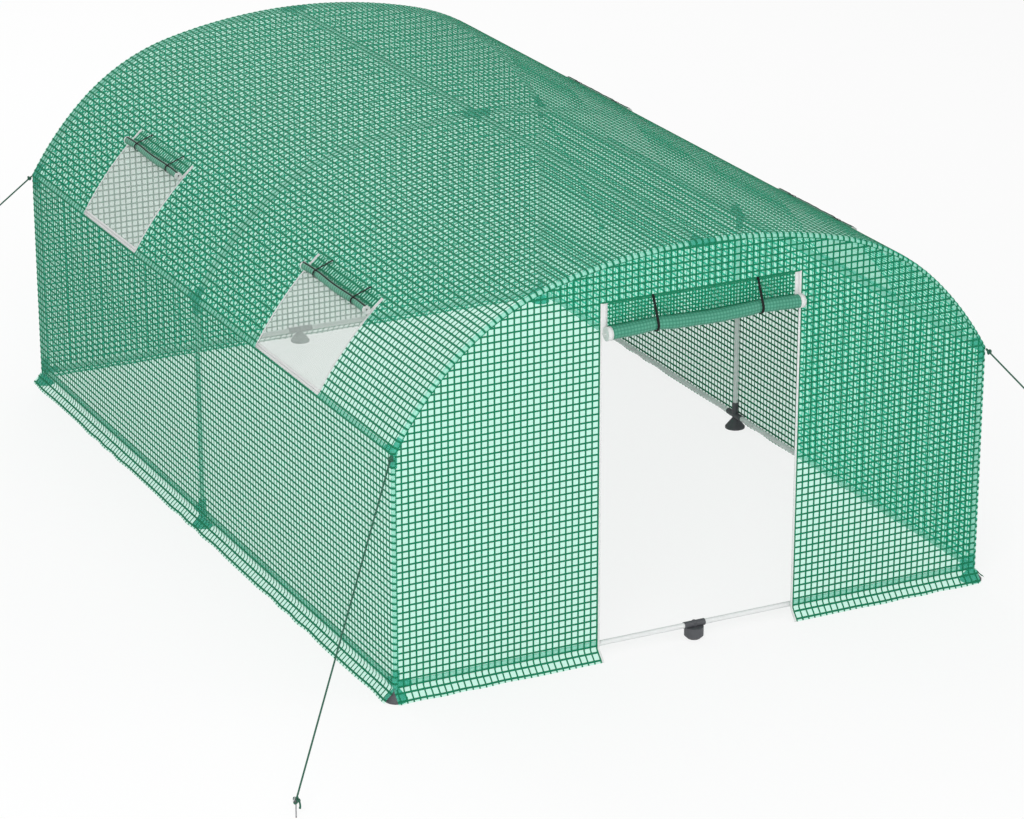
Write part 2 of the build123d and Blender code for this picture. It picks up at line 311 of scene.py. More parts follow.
def tubeFinish():
    here, wear = newFinish("white powder coat", Coat_Roughness=0.25)
    dust = here.noise(6.0, 5.0, 0.65)
    return wear(
        Base_Color=dust.blend(rgb(0.65, 0.66, 0.66), rgb(0.79, 0.8, 0.8)),
        Roughness=0.3 + 0.22 * dust,
        Coat_Weight=0.25 * dust,
        Normal=here.noise(420.0, 2.0).bump(0.12, 0.0008),
    )


def plasticFinish():
    here, wear = newFinish("moulded dark plastic")
    grain = here.noise(650.0, 3.0)
    scuff = here.noise(28.0, 5.0, 0.7)
    return wear(
        Base_Color=scuff.blend(rgb(0.044, 0.046, 0.053), rgb(0.085, 0.087, 0.096)),
        Roughness=0.42 + 0.28 * scuff,
        Normal=(grain + 0.6 * scuff).bump(0.2, 0.0008),
    )


# woven ribbon: ribs across the width and fine picks between them
def ribbonFinish(name, dark, light, rib):
    here, wear = newFinish(name, Specular_IOR_Level=0.2)
    flat = here.flat()
    ribs, picks = flat.wave(1, rib), flat.wave(0, rib)
    grime = here.noise(16.0, 4.0, 0.6)
    return wear(
        Base_Color=(0.25 + 0.5 * grime + 0.12 * ribs * picks).blend(dark, light),
        Roughness=0.6 + 0.25 * grime,
        Normal=(ribs + 0.6 * picks).bump(0.4, 0.0006),
    )


def screenFinish():
    here, wear = newFinish("insect screen", Alpha=0.3, Specular_IOR_Level=0.2)
    flat = here.flat()
    dust = here.noise(5.0, 4.0)
    return wear(
        Base_Color=dust.blend(rgb(0.54, 0.64, 0.59), rgb(0.68, 0.77, 0.72)),
        Roughness=0.55 + 0.3 * dust,
        Normal=(flat.wave(0, 0.0021) * flat.wave(1, 0.0021)).bump(0.25, 0.0005),
    )


def ropeFinish():
    here, wear = newFinish("twisted cord")
    fibre = here.noise(700.0, 3.0)
    shade = 0.5 * here.noise(21.0) + 0.5 * fibre
    return wear(
        Base_Color=shade.blend(rgb(0.006, 0.055, 0.033), rgb(0.024, 0.135, 0.08)),
        Roughness=0.55 + 0.3 * fibre,
        Normal=fibre.bump(0.4, 0.0006),
    )


def wireFinish():
    here, wear = newFinish("galvanised wire", Metallic=1.0)
    dull = here.noise(40.0, 5.0, 0.7)
    return wear(
        Base_Color=here.noise(160.0, 3.0).blend(rgb(0.24, 0.24, 0.25), rgb(0.46, 0.46, 0.47)),
        Roughness=0.28 + 0.3 * dull,
        Normal=dull.bump(0.15, 0.0006),
    )


mintFilm = filmFinish()
greenThread = threadFinish("green grid thread", rgb(0.004, 0.135, 0.064), rgb(0.012, 0.215, 0.107))
netThread = threadFinish("white net thread", rgb(0.5, 0.58, 0.54), rgb(0.7, 0.76, 0.73))
doorRoll = rollFinish("rolled door film", 0.016, 0.016, rgb(0.03, 0.2, 0.125), rgb(0.1, 0.36, 0.25))
windowRoll = rollFinish("rolled window film", 0.0215, 0.06, rgb(0.01, 0.12, 0.066), rgb(0.13, 0.42, 0.29))
whiteTube = tubeFinish()
darkPlastic = plasticFinish()
whiteRibbon = ribbonFinish("white ribbon", rgb(0.62, 0.64, 0.63), rgb(0.82, 0.83, 0.82), 0.0016)
blackRibbon = ribbonFinish("black webbing", rgb(0.003, 0.004, 0.004), rgb(0.012, 0.014, 0.013), 0.0022)
screenCloth = screenFinish()
greenCord = ropeFinish()
pegWire = wireFinish()
slotFinish = {
    "white_tube": whiteTube,
    "grey_plastic": darkPlastic,
    "green_film": mintFilm,
    "window_screen": screenCloth,
    "white_tape": whiteRibbon,
    "black_webbing": blackRibbon,
    "green_rope": greenCord,
    "steel_wire": pegWire,
}
for part in frame["record"]["subparts"]:
    mesh = frame["nodes"][part["node"]].data
    mesh.materials.clear()
    mesh.materials.append(slotFinish[part["material_slot"]])
print("finishes made")


# camera, floor and light

studio = {
    "cameraPlace": (-7.82, -16.04, 7.11),
    "azimuth": -26.55,
    "elevation": 20.74,
    "lens": 133.1,
    "farClip": 200.0,
    "floorReach": 60.0,
    "lamps": [  # place, watts, size
        ((-6.5, -11.0, 6.0), 800.0, 7.0),
        ((9.0, -8.0, 5.0), 160.0, 7.0),
        ((0.0, 9.0, 9.0), 420.0, 8.0),
    ],
    "sky": 0.64,
    "floorGlow": 0.8,  # share of plain white that the camera sees in the floor
}


def raySeen(tree):  # 1 for what the camera, a gloss or a clear surface shows
    path = tree.nodes.new("ShaderNodeLightPath")
    kinds = ("Camera", "Glossy", "Transmission")
    seen, glossy, through = (Sock(tree, path.outputs[f"Is {kind} Ray"]) for kind in kinds)
    return seen.maths("MINIMUM", seen + glossy + through, 1.0)


def makeCamera():
    lens = bpy.data.cameras.new("photoCamera")
    lens.sensor_fit = "HORIZONTAL"
    lens.lens = studio["lens"]
    lens.clip_end = studio["farClip"]
    camera = bpy.data.objects.new("photoCamera", lens)
    camera.location = studio["cameraPlace"]
    camera.rotation_euler = (math.radians(90 - studio["elevation"]), 0.0, math.radians(studio["azimuth"]))
    scene.collection.objects.link(camera)
    scene.camera = camera


def makeFloor():
    reach = studio["floorReach"]
    mesh = bpy.data.meshes.new("studioFloor")
    corners = [(-reach, -reach, 0), (reach, -reach, 0), (reach, reach, 0), (-reach, reach, 0)]
    mesh.from_pydata(corners, [], [(0, 1, 2, 3)])
    floor = bpy.data.objects.new("studioFloor", mesh)
    scene.collection.objects.link(floor)
    here, wear = newFinish("pale floor", Roughness=0.9, Specular_IOR_Level=0.1)
    finish = wear(Base_Color=here.noise(0.6).blend(rgb(0.9, 0.9, 0.9), rgb(0.93, 0.93, 0.93)))
    mesh.materials.append(finish)
    tree = finish.node_tree
    glow = here.add("ShaderNodeEmission", {}, {"Color": rgb(1.0, 1.0, 1.0), "Strength": 1.0})
    plain = Sock(tree, tree.nodes["Principled BSDF"].outputs[0])
    share = raySeen(tree) * studio["floorGlow"]
    shade = here.add("ShaderNodeMixShader", {}, {0: share, 1: plain, 2: glow})
    tree.links.new(shade.link, tree.nodes["Material Output"].inputs["Surface"])
    floor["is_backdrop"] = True


def makeLamps():
    for count, (place, watts, size) in enumerate(studio["lamps"]):
        lamp = bpy.data.lights.new(f"softLamp{count}", "AREA")
        lamp.energy = watts
        lamp.size = size
        lit = bpy.data.objects.new(f"softLamp{count}", lamp)
        lit.location = place
        lit.rotation_euler = (-lit.location).to_track_quat("-Z", "Y").to_euler()
        scene.collection.objects.link(lit)


def makeSky():
    world = bpy.data.worlds.new("studio")
    scene.world = world
    world.use_nodes = True
    tree = world.node_tree
    back = tree.nodes["Background"]
    back.inputs["Color"].default_value = rgb(1.0, 1.0, 1.0)
    strength = studio["sky"] + raySeen(tree) * (1.0 - studio["sky"])
    tree.links.new(strength.link, back.inputs["Strength"])


makeCamera()
makeFloor()
makeLamps()
makeSky()
print("studio ready")


# the hoop's section

# Rows (distance along, x, z, normal x, normal z) of the cover's outline from the left fold over the
# ridge to the right fold: three tangent arcs each side, grown by the margin, a round at the knee of
# that radius, and the upright wall.  Distance is 0 at the ridge and negative on the left.
def sectionTable(margin):
    rise = hoop["ridge"] - hoop["eave"]
    points = [np.array((0.0, hoop["ridge"]))]
    for across, up in (hoop["crown"], hoop["shoulder"], (1.0, 0.0)):
        points.append(np.array((hoop["halfSpan"] * across, hoop["eave"] + rise * up)))
    tangent = np.array((1.0, 0.0))
    rows = []
    for start, end in zip(points, points[1:]):
        chord = end - start
        left = np.array((-tangent[1], tangent[0]))
        radius = chord @ chord / (2 * chord @ left)
        centre = start + left * radius
        ends = [math.atan2(*(place - centre)[::-1]) for place in (start, end)]
        turn = np.linspace(*ends, hoop["arcSteps"])[1 if rows else 0:]
        out = stacked(np.cos(turn), np.sin(turn))
        rows.append(np.hstack([centre + (abs(radius) + margin) * out, out]))
        ahead = unit(chord)
        tangent = ahead * (2 * tangent @ ahead) - tangent
    turn = np.linspace(ends[1], 0.0, hoop["kneeSteps"])[1:]
    out = stacked(np.cos(turn), np.sin(turn))
    rows.append(np.hstack([points[-1] + margin * out, out]))
    rows.append(np.array([[hoop["halfSpan"] + margin, hoop["fold"], 1.0, 0.0]]))
    right = np.concatenate(rows)
    rightRows = np.column_stack([runAlong(right[None, :, :2])[0], right])
    leftRows = rightRows[:0:-1] * np.array([-1, -1, 1, -1, 1])
    return np.concatenate([leftRows, rightRows])


hair = 1e-6  # keeps the points of the knee's round apart on the axis line
section = sectionTable(filmOut)
axisLine = sectionTable(hair)
sectionEnd = section[-1, 0]
rightHalf = axisLine[axisLine[:, 0] >= 0]
kneeDistance = rightHalf[3 * hoop["arcSteps"] - 3, 0]  # end of the third arc


# Places and normals on the cover at distances along the section, moved out by lift.
def onCover(along, y, lift=0.0):
    along, y, lift = np.broadcast_arrays(np.asarray(along, float), y, lift)
    x, z, nx, nz = (np.interp(along, section[:, 0], section[:, k]) for k in (1, 2, 3, 4))
    places = stacked(x + nx * lift, y, z + nz * lift)
    normals = stacked(nx, 0.0, nz)
    return places, normals


def archTop(x):  # height of the hoop's axis line over x
    return np.interp(np.abs(x), rightHalf[:-1, 1], rightHalf[:-1, 2])


def halfWidth(z):
    return np.interp(z, rightHalf[::-1, 2], rightHalf[::-1, 1])


def coverDistance(axisDistance):
    return np.interp(axisDistance, axisLine[:, 0], section[:, 0])


# roof windows: where they are cut

window = {
    "width": 0.70,
    "height": 0.51,  # along the slope, seam to sill
    "sillGap": 0.008,  # knee to sill
    "flapDrop": 0.085,  # seam to roll
    "rollRadius": 0.0195,
    "core": 0.005,
    "perTurn": 16,
    "bays": (-hoop["halfLength"] / 2, hoop["halfLength"] / 2),
    "tieShares": (-0.3, 0.3),
    "tieWidth": 0.011,
    "tieRise": 0.012,
    "piping": (0.152, 0.007, 0.002),  # along the flap from its seam, width, thickness
    "zipWidth": 0.010,
    "grid": (0.0235, 0.037),  # threads of two layers together, across and along
    "thread": 0.0092,
    "lift": 0.0012,  # flaps and tapes over the film
    "steps": 13,
    "netPitch": 0.006,
    "netThread": (0.0006, 0.0006),
    "sideTape": 0.011,
    "sillTapes": (0.002, -0.011),  # middles, from the sill down the slope
    "sillTape": 0.012,
    "tapeThick": 0.0013,
}
windowLow = coverDistance(kneeDistance - window["sillGap"])
windowTop = coverDistance(kneeDistance - window["sillGap"] - window["height"])
windowSpans = [(y - window["width"] / 2, y + window["width"] / 2) for y in window["bays"]]


def inWindow(y):
    return np.any([(y > low) & (y < high) for low, high in windowSpans], axis=0)


# cover film

cover = {
    "roundWidth": 0.0070,  # threads across the hoops
    "lineWidth": 0.0092,  # threads along the tunnel
    "wallWidth": 0.0080,
    "threadThick": 0.0012,
    "lineThick": 0.0018,  # threads that cross over the others
    "lipSteps": 6,
    "lengthSteps": 31,
    "wallSteps": (9, 33),  # up and across
    "areaSteps": 401,
    "seamWidth": 0.003,
    "seamThick": 0.0016,
    "crownGap": 0.004,  # top level thread of a wall to the ridge
}


# Sheet over the hoops: P(s, y) = cover outline at s, length y; past the end hoops it turns a quarter
# round of radius filmOut down to the end wall, P - filmOut (1 - cos f) n at y = end + filmOut sin f.
def makeTunnelFilm():
    end = hoop["halfLength"]
    cuts = [-windowLow, -windowTop, windowTop, windowLow]
    along = np.unique(np.concatenate([section[:, 0], cuts]).round(6))
    straight = np.concatenate([np.linspace(-end, end, cover["lengthSteps"]), np.ravel(windowSpans)])
    straight = np.unique(straight.round(6))
    bend = np.linspace(0, np.pi / 2, cover["lipSteps"])[1:]
    past, fall = filmOut * np.sin(bend), filmOut * (1 - np.cos(bend))
    y = np.concatenate([-end - past[::-1], straight, end + past])
    drop = np.concatenate([fall[::-1], np.zeros_like(straight), fall])
    places, _ = onCover(along[None, :], y[:, None], -drop[:, None])
    reach = runAlong(stacked(y, drop)[None])[0]
    points, faces, flat = cloth(places, along[None, :], (reach - reach[-1] / 2)[:, None])
    row, col = np.divmod(np.arange(len(faces)), len(along) - 1)
    midY, midS = (y[row] + y[row + 1]) / 2, np.abs(along[col] + along[col + 1]) / 2
    faces = faces[~(inWindow(midY) & (midS > windowTop) & (midS < windowLow))]
    replaced = ["left_side_cover", "right_side_cover", "left_roof_cover", "right_roof_cover"]
    piece = putPiece("tunnelFilm", (points, faces, flat), mintFilm, replaced, True)
    size = (reach[-1], 2 * sectionEnd)
    cut = size[0] * size[1] - 4 * window["width"] * (windowLow - windowTop)
    return piece, size, cut


# Threads of the tunnel sheet: rounds across the hoops at y = k pitch, straights along the tunnel at
# s = k pitch, both cut where the windows are, with short bands round the end lips.
def makeTunnelThreads():
    wide, fine, thick = cover["roundWidth"], cover["lineWidth"], cover["threadThick"]
    end = hoop["halfLength"]
    parts = []
    count = int(end / pitch)
    rounds = np.arange(-count, count + 1) * pitch
    cut = inWindow(rounds)
    lower = np.concatenate([[windowLow], section[section[:, 0] > windowLow, 0]])
    upper = np.concatenate([[-windowTop], section[np.abs(section[:, 0]) < windowTop, 0], [windowTop]])
    runs = [(section[:, 0], rounds[~cut])]
    runs += [(knots, rounds[cut]) for knots in (upper, lower, -lower[::-1])]
    for knots, rows in runs:
        places, normals = onCover(knots[None, :], rows[:, None])
        parts.append(bands(places, rearward, normals, wide, thick))
    count = int(sectionEnd / pitch)
    straights = np.arange(-count, count + 1) * pitch
    beside = straights[(np.abs(straights) > windowTop) & (np.abs(straights) < windowLow)]
    clear = np.setdiff1d(straights, beside)
    gaps = np.concatenate([[-end], np.ravel(windowSpans), [end]]).reshape(-1, 2)
    stretches = [(clear, (-end, end))] + [(beside, gap) for gap in gaps]
    for lines, gap in stretches:
        places, normals = onCover(lines[:, None], np.array(gap)[None, :])
        parts.append(bands(places, np.cross(normals, rearward), normals, fine, cover["lineThick"]))
    bend = np.linspace(0, np.pi / 2, cover["lipSteps"])[None, :]
    for way in (-1, 1):
        past, fall = end + filmOut * np.sin(bend), filmOut * (1 - np.cos(bend))
        places, normals = onCover(straights[:, None], way * past, -fall)
        facing = normals * np.cos(bend)[..., None] + way * rearward * np.sin(bend)[..., None]
        parts.append(bands(places, np.cross(normals, rearward), facing, fine, cover["lineThick"]))
    return putPiece("tunnelThreads", joined(parts), greenThread)


tunnelFilm, tunnelFlat, tunnelCut = makeTunnelFilm()
tunnelThreads = makeTunnelThreads()
print("tunnel sheet done")


# end walls

doorway = {
    "half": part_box("front_wall_header")[1][0],
    "head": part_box("front_wall_header")[0][2],
    "sideGap": 0.003,  # edge of the doorway to the flap
}


# Flat sheet in the hoop's outline: x from side to side, z = low + t (arch top - low).
def makeWallFilm(name, way, panels, replaced):
    up, across = cover["wallSteps"]
    t = np.linspace(0, 1, up)[:, None]
    bends = np.concatenate([rightHalf[:-2, 1], -rightHalf[:-2, 1]])
    parts = []
    for lowX, highX, lowZ in panels:
        x = np.unique(np.concatenate([np.linspace(lowX, highX, across), bends]).round(6))
        x = x[(x >= lowX) & (x <= highX)][None, :]
        z = lowZ + t * (archTop(x) - lowZ)
        places = stacked(x, way * wallY, z)
        parts.append(cloth(places, x, z - hoop["fold"], flip=way > 0))
    return putPiece(name, joined(parts), mintFilm, replaced)


# Upright and level threads of a wall, each cut where the doorway is, and the seam round its rim.
def makeWallThreads(name, way, openDoor):
    wide, thick = cover["wallWidth"], cover["threadThick"]
    half, head, fold = doorway["half"], doorway["head"], hoop["fold"]
    facing = way * rearward
    count = int(hoop["halfSpan"] / pitch)
    x = np.arange(-count, count + 1) * pitch
    low = np.where((np.abs(x) < half) & openDoor, head, fold)
    upright = stacked(x[:, None], way * wallY, stacked(low, archTop(x)))
    parts = [bands(upright, rightward, facing, wide, thick)]
    top = hoop["ridge"] - cover["crownGap"]
    steps = np.arange(math.ceil((fold - head) / pitch), (top - head) / pitch)
    z = head + steps * pitch  # one row is the header's seam
    reach = halfWidth(z)
    below = (steps < 0) & openDoor
    doorEdge = np.full(below.sum(), half)
    runs = [(z[~below], -reach[~below], reach[~below])]
    if openDoor:
        runs += [(z[below], -reach[below], -doorEdge), (z[below], doorEdge, reach[below])]
    for heights, start, end in runs:
        ends = stacked(start, end)
        level = stacked(ends, way * wallY, heights[:, None])
        parts.append(bands(level, upward, facing, wide, cover["lineThick"]))
    x, z, nx, nz = axisLine[:, 1:].T
    rim = stacked(x, way * wallY, z)[None]
    outward = stacked(nx, 0.0, nz)[None]
    parts.append(bands(rim, outward, facing, cover["seamWidth"], cover["seamThick"]))
    return putPiece(name, joined(parts), greenThread)


def wallArea():
    x = np.linspace(-hoop["halfSpan"], hoop["halfSpan"], cover["areaSteps"])
    return np.trapz(archTop(x) - hoop["fold"], x)


def makeWalls():
    span, half, head, fold = hoop["halfSpan"], doorway["half"], doorway["head"], hoop["fold"]
    frontPanels = [(-span, -half, fold), (-half, half, head), (half, span, fold)]
    frontNodes = ["front_wall_left", "front_wall_header", "front_wall_right"]
    frontFilm = makeWallFilm("frontWallFilm", -1, frontPanels, frontNodes)
    frontThreads = makeWallThreads("frontWallThreads", -1, True)
    rearFilm = makeWallFilm("rearWallFilm", 1, [(-span, span, fold)], ["rear_wall"])
    rearThreads = makeWallThreads("rearWallThreads", 1, False)
    flat = (2 * span, hoop["ridge"] - fold)
    whole = wallArea()
    whole - 2 * half * (head - fold)


makeWalls()
print("end walls done")


# ground skirts

skirt = {
    "flare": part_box("left_side_cover")[0][0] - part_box("left_skirt")[0][0],
    "hemRise": 0.0025,
    "wave": 0.004,
    "waveRates": (17.0, 3.0, 5.3),  # rate along the strip, then size and rate of its drift
    "curl": 0.05,
    "lengthThreads": (0.3, 0.8),  # shares of the way down
    "steps": 6,
    "spacing": 0.03,
    "spare": 0.2,  # least from a strip's end to a thread, in pitches
}


# Skirt strip: t from fold to hem, out = flare (t - curl sin 2 pi t) plus a slow wave that grows with
# t squared, height = fold (1 - t) down to the hem's own rise.
def skirtPlaces(along, t, outAxis, way, start):
    rate, drift, driftRate = skirt["waveRates"]
    wave = skirt["wave"] * np.sin(along * rate + drift * np.sin(along * driftRate)) * t ** 2
    out = start + skirt["flare"] * (t - skirt["curl"] * np.sin(2 * np.pi * t)) + wave
    z = hoop["fold"] + (skirt["hemRise"] - hoop["fold"]) * t
    return stacked(way * out, along, z) if outAxis == 0 else stacked(along, way * out, z)


# Strips are (axis that points out, way along it, where it starts, from, to).
def makeSkirt(name, strips, replaced):
    t = np.linspace(0, 1, skirt["steps"])
    films, threads = [], []
    wide, fine, thick = cover["roundWidth"], cover["lineWidth"], cover["threadThick"]
    slant = math.hypot(hoop["fold"], skirt["flare"])
    for outAxis, way, start, low, high in strips:
        along = np.linspace(low, high, int((high - low) / skirt["spacing"]))
        lengthwise, outward = (rearward, rightward) if outAxis == 0 else (rightward, rearward)
        places = skirtPlaces(along[:, None], t[None, :], outAxis, way, start)
        films.append(cloth(places, t[None, :] * slant, along[:, None], flip=(way < 0) == (outAxis == 0)))
        facing = (way * outward * hoop["fold"] + upward * skirt["flare"]) / slant
        spare = skirt["spare"]
        rows = np.arange(math.ceil(low / pitch + spare), math.floor(high / pitch - spare) + 1) * pitch
        drops = skirtPlaces(rows[:, None], t[None, :], outAxis, way, start)
        threads.append(bands(drops, lengthwise, facing, wide, thick))
        shares = np.array(skirt["lengthThreads"])[:, None]
        lines = skirtPlaces(along[None, :], shares, outAxis, way, start)
        threads.append(bands(lines, np.cross(facing, lengthwise), facing, fine, cover["lineThick"]))
    film = putPiece(name + "Film", joined(films), mintFilm, replaced, True)
    grid = putPiece(name + "Threads", joined(threads), greenThread)


def makeSkirts():
    half = doorway["half"]
    frontStrips = [(1, -1, wallY, -sideX, -half), (1, -1, wallY, half, sideX)]
    makeSkirt("leftSkirt", [(0, -1, sideX, -wallY, wallY)], ["left_skirt"])
    makeSkirt("rightSkirt", [(0, 1, sideX, -wallY, wallY)], ["right_skirt"])
    makeSkirt("frontSkirt", frontStrips, ["front_skirts"])
    makeSkirt("rearSkirt", [(1, 1, wallY, -sideX, sideX)], ["rear_skirt"])


makeSkirts()
print("skirts done")


# rolled flaps

flap = {
    "across": 61,  # points from edge to edge
    "hang": 5,  # points down the hanging part
    "under": 0.5,  # how far the grid goes on under the roll, in its radius
    "pinch": (0.06, 0.012),  # reach of a tie's grip: share of half width, metres
    "grip": 0.13,  # how far a tie draws the roll in
    "lumps": ((0.02, 31.0, 0.0), (0.015, 77.0, 1.3)),  # size, rate across and shift of each wave
    "swellOut": 0.9,  # share of lumps and grip that goes outwards
    "sag": 0.22,  # in the roll's radius
    "sagAngle": 2.6,  # of the sag's wave at the flap's edge
    "drift": (0.05, 9.0),  # slow wave of the whole roll: size, rate across
    "edge": 0.001,
    "zipThick": 0.002,
    "tieThick": 0.0016,
    "tieGap": 0.003,
    "tieRound": (0.9, 0.88),  # tie's round and its middle's rise, in the roll's radius
    "tieTurn": 1.12,  # how far the tie goes round, in half turns
    "tieSteps": (4, 16),  # points down to the roll and round it
}


# Path of a flap in its own plane (d down, h out): straight down by drop, then a spiral round a centre one
# radius out, r = R - (R - core) a / whole turn, rolled inward until the cut length is used up.
def flapPath(length, drop, radius, core, perTurn):
    whole = 2 * (length - drop) / (radius + core)
    turn = np.linspace(0, whole, int(whole / (2 * np.pi) * perTurn))
    r = radius - (radius - core) * turn / whole
    down = np.linspace(0, 1, flap["hang"])[:-1]
    d = np.concatenate([drop * down, drop + r * np.sin(turn)])
    h = np.concatenate([np.zeros_like(down), radius - r * np.cos(turn)])
    normalD = np.concatenate([np.zeros_like(down), np.sin(turn)])
    normalH = np.concatenate([-np.ones_like(down), -np.cos(turn)])
    run = runAlong(stacked(d, h)[None])[0]
    held = np.concatenate([down ** 2, np.ones_like(turn)])
    return {"rows": np.stack([run, d, h, normalD, normalH, held]), "drop": drop, "radius": radius}


# Flap point at x across and a distance along the path: the roll is drawn in where the ties hold it and
# sags between them.
def flapPlaces(path, along, x, ties, half, axes):
    origin, down, out, across = axes
    run = path["rows"][0]
    d, h, normalD, normalH, held = (np.interp(along, run, values) for values in path["rows"][1:])
    share, least = flap["pinch"]
    pinch = sum(np.exp(-((x - tie) / (share * half + least)) ** 2) for tie in ties)
    lumps = sum(size * np.sin(x * rate + shift) for size, rate, shift in flap["lumps"])
    swell = lumps * (1 - pinch) - flap["grip"] * pinch
    drift, driftRate = flap["drift"]
    hang = flap["sag"] * (1 - pinch) * np.cos(x / half * flap["sagAngle"]) ** 2
    sag = path["radius"] * (hang + drift * np.sin(x * driftRate))
    d = d + held * (np.maximum(d - path["drop"], 0.0) * swell + sag)
    h = h + held * h * swell * flap["swellOut"]
    d, h, normalD, normalH, x = np.broadcast_arrays(d, h, normalD, normalH, x)
    places = origin + d[..., None] * down + h[..., None] * out + x[..., None] * across
    return places, normalD[..., None] * down + normalH[..., None] * out


# Black ties: from the seam straight to the roll, on its tangent, and round under it.
def strapParts(path, ties, axes, spec):
    origin, down, out, across = axes
    gap = flap["tieGap"]
    wide, rise = flap["tieRound"]
    straightSteps, loopSteps = flap["tieSteps"]
    reach = path["radius"] * wide + gap  # the tie lies round the drawn-in roll
    centre = np.array((path["drop"], path["radius"] * rise))
    first = np.array((-spec["tieRise"], gap))
    away = centre - first
    lean = math.atan2(away[1], away[0]) + math.asin(reach / np.linalg.norm(away)) + math.pi / 2
    bend = np.linspace(lean, lean - flap["tieTurn"] * math.pi, loopSteps)
    loop = centre + reach * stacked(np.cos(bend), np.sin(bend))
    straight = np.linspace(0, 1, straightSteps)[:-1, None]
    route = np.concatenate([first + (loop[0] - first) * straight, loop])
    step = unit(np.gradient(route, axis=0))
    places = origin + route[:, :1] * down + route[:, 1:] * out + np.array(ties)[:, None, None] * across
    facing = step[:, :1] * out - step[:, 1:] * down
    return bands(places, across, facing, spec["tieWidth"], flap["tieThick"])


# One flap: film sheet, the grid of its hanging part, white zip bands at both edges and black ties.
def flapParts(path, half, ties, axes, spec):
    across = axes[3]
    run = path["rows"][0]
    x = np.linspace(-half, half, flap["across"])
    places, _ = flapPlaces(path, run[:, None], x[None, :], ties, half, axes)
    film = cloth(places, x[None, :], run[:, None])
    outer = path["drop"] + flap["under"] * path["radius"]
    acrossPitch, alongPitch = spec["grid"]
    count = int(half / acrossPitch)
    lines = np.arange(-count, count + 1) * acrossPitch
    turned, facing = flapPlaces(path, run[run < outer][None, :], lines[:, None], ties, half, axes)
    grid = [bands(turned, across, facing, spec["thread"], cover["threadThick"])]
    level = np.arange(alongPitch / 2, outer, alongPitch)
    turned, facing = flapPlaces(path, level[:, None], x[None, ::2], ties, half, axes)
    grid.append(bands(turned, np.cross(facing, across), facing, spec["thread"], cover["lineThick"]))
    edges = np.array((-1, 1)) * (half + flap["edge"] - spec["zipWidth"] / 2)
    turned, facing = flapPlaces(path, run[None, :], edges[:, None], ties, half, axes)
    zips = bands(turned, across, facing, spec["zipWidth"], flap["zipThick"])
    return film, joined(grid), zips, strapParts(path, ties, axes, spec)


# Film is clear where a flap hangs and dense where it is rolled.
def markRolled(piece, path, finish):
    run = path["rows"][0]
    rolled = np.repeat(run[:-1] >= path["drop"], flap["across"] - 1).astype(np.int32)
    piece.data.materials.append(finish)
    polygons = piece.data.polygons
    polygons.foreach_set("material_index", np.tile(rolled, len(polygons) // len(rolled)))


door = {
    "half": doorway["half"] - doorway["sideGap"],
    "length": doorway["head"] - hoop["fold"],
    "drop": doorway["head"] - middleOf("door_roll", 2),
    "radius": spanOf("door_roll", 2) / 2,
    "core": 0.006,
    "perTurn": 18,
    "ties": (-0.25, 0.28),
    "tieWidth": 0.012,
    "tieRise": 0.006,
    "zipWidth": 0.024,
    "grid": (0.016, 0.016),
    "thread": 0.0058,
    "lift": 0.0006,
}


def makeDoor():
    path = flapPath(door["length"], door["drop"], door["radius"], door["core"], door["perTurn"])
    axes = (np.array((0.0, -wallY - door["lift"], doorway["head"])), -upward, -rearward, rightward)
    film, grid, zips, straps = flapParts(path, door["half"], door["ties"], axes, door)
    sheet = putPiece("doorFlapFilm", film, mintFilm, ["door_flap", "door_roll"], True)
    markRolled(sheet, path, doorRoll)
    threads = putPiece("doorFlapThreads", grid, greenThread)
    tapes = putPiece("doorFlapZips", zips, whiteRibbon, (), True)
    putPiece("doorTies", straps, blackRibbon, ["door_ties"], True)
    2 * door["half"]


makeDoor()
print("door done")


# roof windows

def windowAxes(side, y):
    place, normal = onCover(side * windowTop, y, window["lift"])
    return place, side * np.cross(rearward, normal), normal, side * rearward


# Net of a screen and its edging tapes, on the cover's outline at s from seam to sill, y across the window.
def screenParts(side, y):
    half = window["width"] / 2
    s = np.linspace(windowTop, windowLow, window["steps"])
    across = np.linspace(y - half, y + half, window["steps"])
    places, _ = onCover(side * s[:, None], across[None, :])
    screen = cloth(places, s[:, None], across[None, :], flip=side > 0)
    lines = np.arange(y - half, y + half, window["netPitch"])
    places, normals = onCover(side * s[None, :], lines[:, None])
    net = [bands(places, rearward, normals, *window["netThread"])]
    rows = np.arange(windowTop, windowLow, window["netPitch"])
    places, normals = onCover(side * rows[:, None], np.array([[y - half, y + half]]))
    net.append(bands(places, np.cross(normals, rearward), normals, *window["netThread"]))
    edges = y + np.array((-1, 1)) * (half + window["sideTape"] / 2)
    places, normals = onCover(side * s[None, :], edges[:, None], window["lift"])
    tapes = [bands(places, rearward, normals, window["sideTape"], window["tapeThick"])]
    sills = windowLow + np.array(window["sillTapes"])
    ends = np.linspace(edges[0], edges[1], window["steps"])
    places, normals = onCover(side * sills[:, None], ends[None, :], window["lift"])
    downhill = np.cross(normals, rearward)
    tapes.append(bands(places, downhill, normals, window["sillTape"], window["tapeThick"]))
    return screen, joined(net), joined(tapes)


# Black piping across a rolled flap, on the outside of the roll.
def pipingParts(path, half, ties, axes):
    along, width, thick = window["piping"]
    x = np.linspace(-half, half, flap["across"])[None, :]
    places, facing = flapPlaces(path, np.array([[along]]), x, ties, half, axes)
    return bands(places, np.cross(facing, axes[3]), facing, width, thick)


